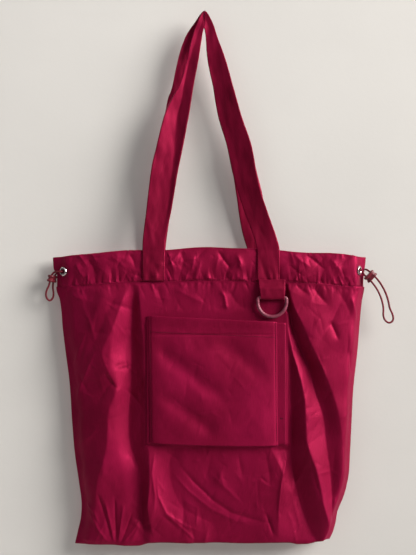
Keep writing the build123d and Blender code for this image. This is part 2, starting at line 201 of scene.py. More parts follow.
BODY_LEFT = (  # (height, side seam), from the hem down to the flared bottom corner
    (-338, -188), (-352, -187), (-362, -183.5), (-375, -181.5), (-400, -179.5), (-430, -176), (-470, -171),
    (-523, -167.5), (-565, -164), (-600, -159), (-630, -155.5), (-648, -156.5), (-664, -160), (-690, -166),
)
BODY_RIGHT = (
    (-338, 204.5), (-352, 203), (-362, 201), (-385, 198.5), (-430, 195), (-483, 189.5), (-523, 187.5),
    (-565, 185.5), (-600, 183), (-622, 178), (-645, 169.5), (-662, 166.5), (-676, 162), (-690, 154),
)


def side_x(table, z):
    """Place of a side seam at a height; the tables hold the outline's width at the front's depth."""
    heights, places = zip(*table)
    return MIDDLE_X + SIDE_SPREAD * (eased(z, np.array(heights) * MM, np.array(places) * MM) - MIDDLE_X)


def plan_line(half, left, right, count):
    """Points (x, y) along one half of the bag's outline in plan, from side seam to side seam."""
    if half == "front":
        corners = [
            (left, SEAM_Y), (left + 16 * MM, -2 * MM), (left + 60 * MM, FRONT_Y),
            (right - 75 * MM, FRONT_Y), (right - 10 * MM, -8 * MM), (right, SEAM_Y),
        ]
    else:
        corners = [(right, SEAM_Y), (right - 18 * MM, BACK_Y), (left + 18 * MM, BACK_Y), (left, SEAM_Y)]
    return rounded(corners, count, count // 16)


def outward(line):
    """The way out of the bag at each point of a plan line."""
    along = np.gradient(line, axis=0)
    across = np.stack([along[:, 1], -along[:, 0]], axis=1)
    return across / np.linalg.norm(across, axis=1)[:, None]


def hem_line(x, middle, end):
    """Height of the band's top or foot: highest in the middle, lower at the side seams."""
    half = (RIGHT_X - LEFT_X) / 2
    return middle + (end - middle) * ((x - MIDDLE_X) / half) ** 2


def band_top(x):
    waves = 0.9 * MM * np.sin(x * 38 + 0.6) + 0.7 * MM * np.sin(x * 71 + 2)
    return hem_line(x, -304.3 * MM, -316.5 * MM) + waves


def band_foot(x):
    return hem_line(x, -346.6 * MM, -355.5 * MM) + 0.6 * MM * np.sin(x * 55 + 1)


def bottom_line(x):
    """Height of the bottom edge: lower at the left corner, higher at the right one."""
    sag = 3.6 * MM * step(x, -68 * MM, -84 * MM) + 2.0 * MM * step(x, 108 * MM, 120 * MM)
    return -679.8 * MM - sag + 3.5 * MM * step(x, 132 * MM, 156 * MM) + 0.5 * MM * np.sin(x * 90)


# --- Folds of the front ---

# Crests and furrows that run the whole height, in mm: each one's levels, places and heights out of the bag
FRONT_LINES = (
    (
        (-350, -378, -409, -435, -462, -480, -510, -561, -599, -631, -660, -690),
        (-96, -106, -117, -127, -119, -112, -119, -123, -134, -137, -137, -140),
        (1, 3, 4.5, 5.5, 5, 4, 5, 5.5, 5, 4, 2, 0),
    ),
    (
        (-350, -391, -447, -485, -517, -555, -587, -625, -656, -690),
        (-88, -92, -93, -94, -96, -94, -82, -80, -78, -76),
        (-1, -4.5, -5.5, -5.5, -5.5, -5, -4.5, -4, -3, 0),
    ),
    (
        (-350, -391, -423, -468, -523, -561, -600, -640, -663, -690),
        (-83, -80, -77, -74, -72, -70, -69, -71, -67, -60),
        (1, 0.3, 0, 0, 0, 1.5, 3, 2.5, 1.5, 0),
    ),
    (
        (-350, -540, -561, -588, -613, -640, -654, -690),
        (-30, -30, -40, -44, -39, -21, 5, 20),
        (0, 0, -1.5, -2.6, -3, -2.6, -2, 0),
    ),
    ((-350, -480, -560, -597, -625, -663, -690), (60, 70, 85, 101, 99, 94, 94), (0, 0, 0, 1, 1.5, 1.5, 0)),
    (
        (-350, -400, -440, -472, -520, -561, -599, -631, -665, -678, -690),
        (97, 101, 105.4, 106, 108, 110.5, 115.6, 124.5, 137, 143, 146),
        (0, -0.5, -2.5, -3.5, -4.5, -5, -5.5, -5, -3.5, -2, 0),
    ),
    (
        (-350, -400, -437, -456, -488, -520, -549, -588, -626, -662, -690),
        (100, 104.5, 112, 118, 125.7, 128.3, 129.5, 142, 150, 157, 149),
        (0, 0.8, 2, 3.5, 5.5, 6, 6.5, 6.5, 6, 4, 0),
    ),
    (
        (-350, -397, -423, -456, -488, -520, -555, -593, -640, -662, -690),
        (102.9, 110.5, 119, 133.4, 142.2, 152.4, 156.2, 161.3, 163, 161, 150.5),
        (-1.5, -4, -4.5, -4.5, -3.5, -2.5, -1.5, -1, 0, 0, 0),
    ),
    (
        (-350, -378, -404, -423, -456, -481, -507, -533, -590, -640, -662, -690),
        (106.7, 113, 125.7, 134, 149.9, 160, 169, 174, 176, 168, 164, 151.5),
        (1.5, 3.5, 5, 5, 4, 3.5, 3, 2, 1.5, 0.5, 0, 0),
    ),
)
# Shorter creases, as (height, width, then the x and z of each point of the line)
FRONT_CREASES = (
    (1.8, 9, -122, -354, -130, -370, -141, -401, -150, -435),
    (-1.6, 7, -104, -352, -122, -385, -138, -425, -143, -440),
    (1.3, 2.6, -134, -430, -146, -455, -158, -481, -166, -508),
    (1.2, 2.4, -149, -410, -160, -436, -168, -460),
    (-2.0, 3.2, -126, -462, -118, -474, -108, -486),
    (-1.6, 3.5, -168, -352, -176, -360, -184, -364),
    (1.5, 4, -172, -362, -160, -369, -148, -368),
    (-1.8, 1.8, -136, -612, -124, -650, -116, -683),
    (1.5, 1.8, -126, -624, -119, -655, -114, -684),
    (-1.6, 1.6, -114, -616, -113, -655, -112, -684),
    (1.5, 1.8, -102, -628, -106, -655, -110, -684),
    (-1.5, 1.6, -90, -638, -99, -662, -108, -684),
    (1.3, 1.6, -80, -650, -94, -668, -106, -684),
    (1.5, 1.8, -146, -640, -134, -664, -118, -684),
    (1.3, 2.0, -152, -628, -140, -640, -131, -660),
    (1.2, 2.0, -61, -590, -58, -620, -48, -642, -24, -658, 4, -668),
    (-1.7, 3.0, -38, -572, -14, -602, 12, -626, 36, -642, 72, -652, 92, -656),
    (1.0, 2.2, -46, -584, -20, -614, 8, -636, 36, -650, 70, -660),
    (1.1, 1.6, -52, -640, -38, -652, -20, -668, -8, -680),
    (1.0, 3.5, 6, -590, 30, -612, 52, -634),
    (-0.8, 1.2, 60, -600, 72, -596, 84, -606),
    (1.9, 2.0, 100, -556, 105, -575, 98, -602, 95, -630, 93, -672),
    (-1.2, 1.6, 78, -640, 84, -656, 90, -676),
    (1.4, 1.8, -62, -560, -66, -590, -62, -620, -64, -650),
    (1.6, 4, 108, -600, 116, -632, 124, -668),
    (-2.2, 3.0, 160, -396, 166, -410, 172, -424),
    (-1.8, 3.6, 136, -352, 146, -364, 160, -380),
    (-1.6, 3.0, 116, -350, 124, -358, 136, -366),
    (1.8, 2.6, 187, -364, 192, -384, 195, -402),
    (-1.8, 2.2, 186, -432, 187, -450, 188, -466),
    (1.4, 3.0, 168, -620, 164, -640, 160, -664),
    (-1.4, 2.2, 132, -566, 142, -604, 152, -630),
    (1.8, 2.4, 20, -356, 26, -366, 28, -378, 31, -384),
    (-1.4, 4, -60, -352, -56, -366, -50, -380),
    (1.3, 5, -40, -354, -18, -366, 6, -378),
    (-1.2, 5, 30, -356, 40, -372, 52, -384),
)
BACK_LEVELS = (-350, -450, -560, -650, -690)
BACK_LINES = (
    (BACK_LEVELS, (150, 154, 148, 140, 136), (1, 4, 5, 3, 0)),
    (BACK_LEVELS, (112, 108, 112, 104, 100), (-1, -3, -4, -2, 0)),
    (BACK_LEVELS, (60, 70, 62, 66, 60), (0, 2, 3, 2, 0)),
    (BACK_LEVELS, (0, 10, 2, 8, 0), (0, -2, -3, -1, 0)),
    (BACK_LEVELS, (-60, -56, -66, -60, -60), (1, 2.5, 3, 2, 0)),
    (BACK_LEVELS, (-104, -96, -104, -98, -96), (-1, -3, -4, -2, 0)),
    (BACK_LEVELS, (-140, -136, -130, -132, -130), (1, 3, 4, 2, 0)),
)
BACK_CREASES = (
    (1.6, 6, 40, -356, 56, -400, 66, -440),
    (-1.5, 6, -30, -356, -46, -396, -52, -450),
    (1.8, 5, 90, -600, 110, -640, 130, -672),
    (1.8, 5, -84, -610, -104, -646, -126, -674),
    (-1.6, 5, 10, -630, 50, -648, 90, -655),
    (1.2, 3, -150, -420, -158, -460, -160, -500),
)


def line_field(x, z, lines):
    """Height between neighbouring crests and furrows: a smooth flank from each one to the next."""
    tables = [np.array(line, float) * MM for line in lines]
    out = np.zeros_like(x)
    for row in range(x.shape[0]):
        level = z[row].mean()
        knots = [(eased(level, at, places), eased(level, at, rises)) for at, places, rises in tables]
        knots = sorted([(x[row].min(), 0.0), *knots, (x[row].max(), 0.0)])
        places = np.array([place for place, _ in knots])
        places = np.maximum.accumulate(places + np.arange(len(places)) * 1e-6)
        heights = np.array([height for _, height in knots])
        i = np.clip(np.searchsorted(places, x[row]) - 1, 0, len(places) - 2)
        t = np.clip((x[row] - places[i]) / (places[i + 1] - places[i]), 0, 1)
        flank = 0.4 * t * t * (3 - 2 * t) + 0.6 * t
        out[row] = heights[i] + (heights[i + 1] - heights[i]) * flank
    return out


def front_relief(x, z):
    """How far the front cloth stands out of its plan."""
    below = np.maximum(band_foot(x) - z, 0)
    out = 1.6 * line_field(x, z, FRONT_LINES) * step(below, -8 * MM, 26 * MM)
    out = out + creases(x, z, FRONT_CREASES)
    out = out + gathers(x, below, seed=3, height=1.3 * MM, reach=11 * MM)
    out = out + ripples(x, z, 60 * MM, 0.55 * MM, seed=5) * step(below, 0, 50 * MM)
    out = out + ripples(x, z * 0.45, 17 * MM, 0.14 * MM, seed=6)
    out = out + crumples(x, z, 8, 170, 1.25 * MM) * step(below, 0, 12 * MM)
    out = out + crumples(x, z, 9, 560, 0.5 * MM, size=(5, 18), widths=(1.0, 2.4), tilt=0.9)
    out = out * step(below, -1 * MM, 4 * MM) - SEAM_GROOVE
    flat = inside(x, z, pocket_low, backing_high, 9 * MM)
    out = out * (1 - flat) - 0.25 * MM * flat
    clear = inside(x, z, Vector((tab_low.x, 0, ring_low.z)), Vector((tab_high.x, 0, -0.3)), 8 * MM)
    return out - clear * np.maximum(out, 0)


def back_relief(x, z):
    """The same for the back, whose folds are made up."""
    below = np.maximum(band_foot(x) - z, 0)
    out = 0.9 * line_field(x[:, ::-1], z[:, ::-1], BACK_LINES)[:, ::-1] + creases(x, z, BACK_CREASES)
    out = out + gathers(x, below, seed=13, height=0.9 * MM, reach=14 * MM)
    out = out + ripples(x, z, 65 * MM, 0.5 * MM, seed=15)
    out = out + ripples(x, z * 0.45, 18 * MM, 0.14 * MM, seed=16)
    out = out + crumples(x, z, 18, 150, 0.9 * MM)
    out = out + crumples(x, z, 19, 520, 0.42 * MM, size=(5, 18), widths=(1.0, 2.4), tilt=0.9)
    return out * step(below, -1 * MM, 4 * MM) - SEAM_GROOVE


# --- Meshes ---


def linked(name, data):
    """A new object for a mesh, curve, camera or light, put in the scene."""
    made = bpy.data.objects.new(name, data)
    bpy.context.collection.objects.link(made)
    return made


def mesh_piece(name, verts, faces, material):
    mesh = bpy.data.meshes.new(name)
    mesh.from_pydata(verts, [], faces)
    mesh.polygons.foreach_set("use_smooth", [True] * len(mesh.polygons))
    mesh.materials.append(material)
    return linked(name, mesh)


def grid_piece(name, points, material, drop=None):
    """A piece from a grid of points (rows, columns, 3), with a UV map in metres of cloth.

    Its faces look towards the side from which the rows run down and the columns run to the right.
    """
    rows, columns = points.shape[:2]
    index = np.arange(rows * columns).reshape(rows, columns)
    quads = np.stack([index[:-1, :-1], index[1:, :-1], index[1:, 1:], index[:-1, 1:]], axis=-1)
    keep = np.ones((rows - 1, columns - 1), bool) if drop is None else ~drop
    piece = mesh_piece(name, points.reshape(-1, 3).tolist(), quads[keep].tolist(), material)
    across, down = running_length(points[rows // 2]), running_length(points[:, columns // 2])
    grid = np.stack(np.meshgrid(across, down), axis=-1)
    corners = np.stack([grid[:-1, :-1], grid[1:, :-1], grid[1:, 1:], grid[:-1, 1:]], axis=2)
    piece.data.uv_layers.new(name="cloth").data.foreach_set("uv", corners[keep].reshape(-1))
    return piece


def thicken(piece, thickness, offset=-1.0):
    """Gives a sheet its thickness; offset -1 adds it behind the faces, 0 on both sides."""
    solid = piece.modifiers.new("thickness", "SOLIDIFY")
    solid.thickness, solid.offset = thickness, offset
    mesh = bpy.data.meshes.new_from_object(piece.evaluated_get(bpy.context.evaluated_depsgraph_get()))
    piece.modifiers.clear()
    piece.data = mesh
    return piece


def drop_loose_points(piece):
    """Removes points that no face uses."""
    edited = bmesh.new()
    edited.from_mesh(piece.data)
    bmesh.ops.delete(edited, geom=[v for v in edited.verts if not v.link_faces], context="VERTS")
    edited.to_mesh(piece.data)
    edited.free()


def on_bag(piece, slot, *nodes):
    """Makes a piece part of the bag's body and hides the CAD nodes that it stands for; slot is not used."""
    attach(piece, "bag")
    if nodes:
        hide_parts(*nodes)


def surface_of(piece):
    """A tree of the piece's faces, to find places on it."""
    mesh = piece.data
    return BVHTree.FromPolygons([v.co for v in mesh.vertices], [p.vertices[:] for p in mesh.polygons])


def stitches(name, target, places, way, length=2.3 * MM, gap=1.0 * MM, thick=0.42 * MM):
    """A row of sewn stitches along (x, z) places, lying on the target as seen along way (+Y or -Y)."""
    tree = surface_of(target)
    places = np.array(places, float)
    along = running_length(places)
    verts, faces = [], []
    sides, rings = 6, 5
    for start in np.arange(0.6 * MM, along[-1] - length, length + gap):
        centre = []
        for at in np.linspace(start, start + length, rings):
            x, z = [np.interp(at, along, places[:, k]) for k in (0, 1)]
            hit = tree.ray_cast(Vector((x, -way * 0.2, z)), Vector((0, way, 0)), 0.4)
            if hit[0] is None:
                break
            centre.append((hit[0], hit[1] if hit[1].y * way < 0 else -hit[1]))
        if len(centre) < rings:
            continue
        run = (centre[-1][0] - centre[0][0]).normalized()
        base = len(verts)
        for number, (point, normal) in enumerate(centre):
            bulge = math.sin(math.pi * (0.12 + 0.76 * number / (rings - 1)))
            side = run.cross(normal).normalized()
            middle = point + normal * (thick * (0.35 * bulge - 0.1))
            for corner in range(sides):
                turn = math.tau * corner / sides
                reach = thick / 2 * (0.45 + 0.55 * bulge)
                verts.append(middle + (side * math.cos(turn) + normal * math.sin(turn)) * reach)
        for ring in range(rings - 1):
            for corner in range(sides):
                a, b = base + ring * sides + corner, base + ring * sides + (corner + 1) % sides
                faces.append((a, b, b + sides, a + sides))
        faces.append(tuple(base + corner for corner in reversed(range(sides))))
        faces.append(tuple(base + (rings - 1) * sides + corner for corner in range(sides)))
    on_bag(mesh_piece(name, verts, faces, THREAD), "bag_fabric")


# --- Materials ---


class Nodes:
    """Short ways to build one material's nodes."""

    def __init__(self, name):
        self.material = bpy.data.materials.new(name)
        self.material.use_nodes = True
        self.tree = self.material.node_tree
        self.shader = self.tree.nodes["Principled BSDF"]

    def add(self, kind, inputs=None, **settings):
        node = self.tree.nodes.new(kind)
        for key, value in settings.items():
            setattr(node, key, value)
        for key, value in (inputs or {}).items():
            if isinstance(value, bpy.types.NodeSocket):
                self.tree.links.new(value, node.inputs[key])
            else:
                node.inputs[key].default_value = value
        return node

    def set(self, **values):
        for key, value in values.items():
            socket = self.shader.inputs[key.replace("_", " ")]
            if isinstance(value, bpy.types.NodeSocket):
                self.tree.links.new(value, socket)
            else:
                socket.default_value = value
        return self.material

    def math(self, operation, a, b):
        return self.add("ShaderNodeMath", {0: a, 1: b}, operation=operation).outputs[0]

    def wave(self, value, rate):
        turn = self.math("MULTIPLY", value, rate)
        return self.add("ShaderNodeMath", {0: turn}, operation="SINE").outputs[0]

    def place(self):
        return self.add("ShaderNodeTexCoord").outputs["Object"]

    def stretched(self, vector, scale):
        return self.add("ShaderNodeMapping", {0: vector, 3: scale}).outputs[0]

    def noise(self, vector, scale, detail=2.0, roughness=0.5):
        inputs = {"Vector": vector, "Scale": scale, "Detail": detail, "Roughness": roughness}
        return self.add("ShaderNodeTexNoise", inputs).outputs[0]

    def ramp(self, value, *stops):
        """A colour between two stops, each a place from 0 to 1 and a colour."""
        node = self.add("ShaderNodeValToRGB", {0: value})
        for number, (place, colour) in enumerate(stops):
            element = node.color_ramp.elements[number]
            element.position, element.color = place, (*colour, 1)
        return node.outputs[0]

    def bump(self, height, strength, distance, below=None):
        inputs = {"Strength": strength, "Distance": distance, "Height": height}
        if below is not None:
            inputs["Normal"] = below
        return self.add("ShaderNodeBump", inputs).outputs[0]


def satin(name, dark, bright, roughness, pitch):
    """Fine shiny cloth: uneven dye, a plain weave and small creases in the bump, and a coloured sheen."""
    nodes = Nodes(name)
    cloth = nodes.add("ShaderNodeUVMap", uv_map="cloth").outputs[0]
    place = nodes.place()
    patches = nodes.noise(place, 9.0, 4.0)
    slubs = nodes.noise(nodes.stretched(cloth, (1400, 90, 1)), 1.0, 3.0)
    mixed = nodes.math("ADD", nodes.math("MULTIPLY", patches, 0.6), nodes.math("MULTIPLY", slubs, 0.4))
    colour = nodes.ramp(mixed, (0.34, dark), (0.66, bright))
    split = nodes.add("ShaderNodeSeparateXYZ", {0: cloth})
    weave = nodes.math("MULTIPLY", *[nodes.wave(split.outputs[k], math.pi / pitch) for k in (0, 1)])
    fine = nodes.bump(weave, 0.12, 0.1 * MM)
    creased = nodes.bump(nodes.noise(place, 48.0, 5.0, 0.55), 0.22, 1.2 * MM, fine)
    gloss = nodes.math("ADD", nodes.math("MULTIPLY", slubs, 0.12), roughness - 0.06)
    return nodes.set(
        Base_Color=colour, Roughness=gloss, Normal=creased, Metallic=0.38,
        Specular_IOR_Level=0.18, Specular_Tint=(1.0, 0.30, 0.45, 1),
        Sheen_Weight=0.10, Sheen_Roughness=0.35, Sheen_Tint=(1.0, 0.15, 0.50, 1),
    )


def thread_material():
    nodes = Nodes("stitching_thread")
    twist = nodes.noise(nodes.place(), 2500.0, 2.0)
    # The colour follows the same noise as the bump and is darker where the thread lies low: painted shade in
    # the hollows of its twist.
    colour = nodes.ramp(twist, (0.3, (0.028, 0.001, 0.005)), (0.7, (0.080, 0.003, 0.014)))
    twisted = nodes.bump(twist, 0.4, 0.1 * MM)
    return nodes.set(Base_Color=colour, Roughness=0.7, Normal=twisted, Specular_IOR_Level=0.1)


def metal_material():
    nodes = Nodes("eyelet_metal")
    place = nodes.place()
    tarnish = nodes.noise(place, 350.0, 4.0)
    scratches = nodes.noise(nodes.stretched(place, (300, 2200, 2200)), 1.0, 2.0)
    colour = nodes.ramp(tarnish, (0.35, (0.60, 0.50, 0.51)), (0.65, (0.86, 0.77, 0.78)))
    rough = nodes.math("ADD", nodes.math("MULTIPLY", scratches, 0.16), 0.16)
    scratched = nodes.bump(scratches, 0.12, 0.05 * MM)
    return nodes.set(Base_Color=colour, Metallic=1.0, Roughness=rough, Normal=scratched)


def speckled(name, patch, stops, gloss, grain, **values):
    """A hard finish: patches (scale, detail) of colour and gloss over a fine grain (scale, strength)."""
    nodes = Nodes(name)
    place = nodes.place()
    patches = nodes.noise(place, *patch)
    rough = nodes.math("ADD", nodes.math("MULTIPLY", patches, gloss[0]), gloss[1])
    skin = nodes.bump(nodes.noise(place, grain[0], 2.0), grain[1], 0.1 * MM)
    return nodes.set(Base_Color=nodes.ramp(patches, *stops), Roughness=rough, Normal=skin, **values)


def cord_material():
    """Braided cover of the elastic cord: slanting strands that cross."""
    nodes = Nodes("braided_cord")
    split = nodes.add("ShaderNodeSeparateXYZ", {0: nodes.place()})
    side = nodes.math("ADD", split.outputs[0], split.outputs[1])
    leans = [nodes.math(way, side, split.outputs[2]) for way in ("ADD", "SUBTRACT")]
    height = nodes.math("MAXIMUM", *[nodes.wave(lean, math.tau / (0.9 * MM)) for lean in leans])
    # The colour is darker where the braid lies low: painted shade in the hollows between the strands.
    colour = nodes.ramp(height, (0.1, (0.085, 0.004, 0.010)), (0.9, (0.200, 0.011, 0.026)))
    braid = nodes.bump(height, 0.5, 0.2 * MM)
    return nodes.set(Base_Color=colour, Roughness=0.6, Normal=braid, Specular_IOR_Level=0.2)


BAG_CLOTH = satin("bag_satin", (0.160, 0.0026, 0.021), (0.266, 0.0047, 0.042), 0.52, 0.35 * MM)
STRAP_CLOTH = satin("strap_satin", (0.128, 0.0024, 0.016), (0.215, 0.0042, 0.030), 0.50, 0.5 * MM)
THREAD = thread_material()
EYELET_METAL = metal_material()
RING_PAINT = speckled(
    "painted_ring", (160.0, 4.0), ((0.35, (0.150, 0.020, 0.042)), (0.65, (0.235, 0.040, 0.074))),
    (0.16, 0.36), (900.0, 0.12), Metallic=0.1, Coat_Weight=0.15, Coat_Roughness=0.3,
)
STOPPER_PLASTIC = speckled(
    "moulded_stopper", (260.0, 3.0), ((0.3, (0.085, 0.005, 0.011)), (0.7, (0.170, 0.014, 0.026))),
    (0.15, 0.28), (1600.0, 0.15), Specular_IOR_Level=0.35, Coat_Weight=0.12, Coat_Roughness=0.25,
)
CORD_COVER = cord_material()


# --- Eyelet places, as in the frame ---


def on_stretch(corners, share, height):
    """A point on one straight stretch of the outline at the hem, and the way out of the bag there."""
    a, b = [Vector((*corner, 0)) for corner in corners]
    along = b - a
    place = a + along * share
    place.z = height
    return place, Vector((along.y, -along.x, 0)).normalized()


L, R = LEFT_X, RIGHT_X
EYELETS = {
    "front_left": on_stretch(((L, SEAM_Y), (L + 16 * MM, -2 * MM)), 0.63, -334.4 * MM),
    "front_right": on_stretch(((R - 10 * MM, -8 * MM), (R, SEAM_Y)), 0.40, -332.7 * MM),
    "back_right": on_stretch(((R, SEAM_Y), (R - 18 * MM, BACK_Y)), 0.60, -332.7 * MM),
    "back_left": on_stretch(((L + 18 * MM, BACK_Y), (L, SEAM_Y)), 0.37, -334.4 * MM),
}


# --- Bag body ---

def body_half(half, relief, rows=250, columns=380):
    """Points of the front or back from its stitch line down to the bottom edge."""
    points = np.zeros((rows, columns, 3))
    normals = np.zeros((rows, columns, 2))
    edge = np.zeros((rows, columns))
    top_z, low_z = band_foot(MIDDLE_X), -680 * MM
    for row, t in enumerate(np.linspace(0, 1, rows)):
        level = top_z + (low_z - top_z) * t
        left, right = side_x(BODY_LEFT, level), side_x(BODY_RIGHT, level)
        line = plan_line(half, left, right, columns)
        normals[row] = outward(line)
        top, low = band_foot(line[:, 0]) + 1.5 * MM, bottom_line(line[:, 0])
        points[row, :, :2] = line
        points[row, :, 2] = top + (low - top) * t
        edge[row] = step(np.minimum(line[:, 0] - left, right - line[:, 0]), 0, 12 * MM)
    push = relief(points[:, :, 0], points[:, :, 2]) * edge
    push -= 2.4 * MM * step(points[:, :, 2], BOTTOM_Z + 9 * MM, BOTTOM_Z + 1 * MM) ** 2 * edge
    points[:, :, :2] += normals * push[:, :, None]
    return points


front_points = body_half("front", front_relief)
back_points = body_half("back", back_relief)
front_cloth = thicken(grid_piece("front_cloth", front_points, BAG_CLOTH), CLOTH)
back_cloth = thicken(grid_piece("back_cloth", back_points, BAG_CLOTH), CLOTH)


def bottom_cloth():
    """The bottom, from the front's lower edge to the back's."""
    share = np.linspace(0, 1, 14)[:, None, None]
    points = front_points[-1][None] * (1 - share) + back_points[-1][::-1][None] * share
    points[:, :, 2] -= 1.2 * MM * np.sin(share[:, :, 0] * math.pi)
    return thicken(grid_piece("bottom_cloth", points, BAG_CLOTH), CLOTH)


bottom = bottom_cloth()
on_bag(front_cloth, "bag_fabric", "front_panel")
on_bag(back_cloth, "bag_fabric", "back_panel")
on_bag(bottom, "bag_fabric", "bottom_panel")


# --- Hem band ---

# Creases of the front band, as (height, width, then the x and z of each point of the line)
BAND_DENTS = (
    (1.5, 4, -47, -308, -42, -320, -36, -334),
    (-1.4, 4, -30, -306, -26, -322, -30, -336),
    (1.6, 3.6, -12, -312, -14, -326, -18, -338),
    (-2.2, 3.2, 16, -306, 24, -318, 31, -327, 34, -336),
    (1.8, 5, 40, -310, 46, -322, 50, -338),
    (-1.8, 4, -150, -316, -142, -328, -136, -342),
    (1.6, 4.5, -120, -312, -108, -322, -98, -332),
    (1.8, 4, -164, -322, -158, -336, -150, -346),
    (-1.6, 3.5, -96, -310, -90, -320, -86, -334),
    (1.8, 4.5, 112, -310, 122, -320, 136, -330),
    (-1.8, 3.5, 128, -312, 142, -322, 156, -334),
    (1.7, 4, 160, -318, 170, -328, 176, -342),
)


def band_relief(x, z, half):
    """How far the band's outer layer stands out of its plan."""
    foot, top = band_foot(x), band_top(x)
    share = np.clip((z - foot) / (top - foot), 0, 1)
    out = 2.2 * MM * np.sin(math.pi * share) ** 0.7 - SEAM_GROOVE
    out = out + gathers(x, z - foot, seed=21 if half == "front" else 22, height=2.0 * MM, reach=12 * MM)
    out = out + ripples(x, z * 0.5, 30 * MM, 0.30 * MM, seed=23) * step(top - z, 0, 10 * MM)
    levels = (-356, -304)
    out = out + crumples(x, z, 24, 90, 1.3 * MM, size=(8, 24), widths=(1.2, 3.6), levels=levels, tilt=0.7)
    out = out + crumples(x, z, 25, 220, 0.5 * MM, size=(3, 10), widths=(0.8, 1.8), levels=levels, tilt=0.9)
    if half == "front":
        out = out + creases(x, z, BAND_DENTS)
    return out * step(z - foot, -1 * MM, 3 * MM) - SEAM_GROOVE * step(z - foot, 3 * MM, 0)


def near_eyelets(points, radius):
    """The distance share to the nearest eyelet's axis: 0 at it, 1 from radius outwards."""
    out = np.ones(points.shape[:2])
    for place, way in EYELETS.values():
        away = points - np.array(place)
        depth = away @ np.array(way)
        aside = np.sqrt(np.maximum((away**2).sum(axis=2) - depth**2, 0))
        close = np.abs(depth) < 3.2 * MM
        out = np.where(close, np.minimum(out, aside / radius), out)
    return out


TOP_ROUND = 1.2 * MM  # height of the band's rounded top edge


def hem_band(half):
    """One half of the band: up its outer layer, over the top and down its inner layer."""
    columns, outer_rows, inner_rows = 620, 44, 16
    left, right = LEFT_X + 1 * MM, RIGHT_X - 0.5 * MM
    line = plan_line(half, left, right, columns)
    normal = outward(line)
    x = line[:, 0]
    foot, top = band_foot(x), band_top(x) - TOP_ROUND
    from_end = np.minimum(x - left, right - x)
    edge = step(from_end, 0, 7 * MM)
    pinch = 1.5 * MM * step(from_end, 26 * MM, 0)

    def row(push, z, narrow=0.0):
        return np.stack([x + normal[:, 0] * (push - narrow), line[:, 1] + normal[:, 1] * push, z], axis=1)

    points = []
    for t in np.linspace(0, 1, outer_rows):
        z = foot + (top - foot) * t
        spot = np.concatenate([line, z[:, None]], axis=1)[None]
        held = step(near_eyelets(spot, 11 * MM)[0], 0.55, 1.0)
        points.append(row(band_relief(x, z, half) * edge * held, z, pinch * (1 - t)))
    for turn in np.linspace(0, math.pi, 8)[1:-1]:
        points.append(row(-BAND_DEPTH / 2 * (1 - math.cos(turn)) * edge, top + TOP_ROUND * math.sin(turn)))
    for t in np.linspace(1, 0, inner_rows):
        points.append(row((4.4 * MM * step(t, 0.12, 0) - BAND_DEPTH) * edge, foot + (top - foot) * t))
    points = np.array(points)[::-1]
    across, height = points[:, :, 0], step(points[:, :, 2], -350 * MM, -312 * MM)
    # The left end stays narrow where the stopper hangs beside it
    beside_stopper = step(np.abs(points[:, :, 2] + 345.5 * MM), 14 * MM, 9 * MM)
    reach = (3.0 + 2.0 * height) * (1 - beside_stopper) - 0.5 * beside_stopper
    across -= reach * MM * step(across, LEFT_X + 8 * MM, left)
    across += (0.5 + 3.5 * height) * MM * step(across, RIGHT_X - 5 * MM, right)
    holes = near_eyelets(points, 3.6 * MM) < 1
    drop = holes[:-1, :-1] | holes[1:, :-1] | holes[1:, 1:] | holes[:-1, 1:]
    drop[:inner_rows + 6] = False
    piece = grid_piece(f"{half}_hem_band", points, BAG_CLOTH, drop)
    drop_loose_points(piece)
    thicken(piece, CLOTH)
    on_bag(piece, "bag_fabric", f"{half}_top_band")
    return piece


front_band = hem_band("front")
back_band = hem_band("back")


# --- Shoulder straps ---

# Each station from the left foot over the peg to the right one, in mm: the outer edge's x and z, the inner
# edge's x and z, lean of the outer edge, depth of the lengthwise crease and its share across. The last three
# are 0, 0 and 0.5 where left out.
FRONT_STRAP = (
    (-78.5, -346.6, -50.0, -346.6), (-78.5, -325, -49.8, -325), (-78.3, -305, -49.5, -305),
    (-77.5, -290, -48.5, -290, 0.5, 0.5, 0.7), (-73.7, -258, -42, -258, 0.8, 2.2, 0.86),
    (-67.7, -207, -33.5, -207, 0.8, 4.0, 0.8), (-61.5, -178, -28, -180, 0.8, 5.0, 0.74),
    (-50.8, -136, -19.6, -136, 0.8, 6.0, 0.54), (-40, -112, -15.8, -112, 0.4, 4.8),
    (-30.5, -94, -12.8, -94, -0.5, 2.6, 0.3), (-22.5, -66, -7.5, -66, -1.2, 1.4, 0.25),
    (-16.5, -40, -3.6, -41, 1, 0.8, 0.4), (-9.5, -18.5, -1.4, -27, 0.3, 0.8),
    (0.3, -0.8, 0.2, -22.5, 0, 0.8), (10, -14, 1.4, -28, 0.3, 0.8), (17.5, -36, 2.4, -41, 1, 0.6, 0.6),
    (26.9, -62, 4.4, -64, 1.8, 0.6, 0.7), (37.2, -99, 11.4, -99, 3, 0.8, 0.75),
    (47.5, -136, 17.8, -136, 3.8, 0.9, 0.75), (59.7, -172, 28.5, -172, 4, 0.9, 0.7),
    (66.4, -207, 36, -207, 4, 0.8, 0.7), (72.4, -234, 43.5, -234, 3.5, 0.6, 0.7),
    (80.6, -258.6, 51.5, -258.6, 3, 0.4, 0.6), (89.8, -284.5, 61, -284.5, 1.6), (95.6, -305, 67, -305),
    (96, -325, 67.2, -325), (96, -346.6, 67.2, -346.6),
)
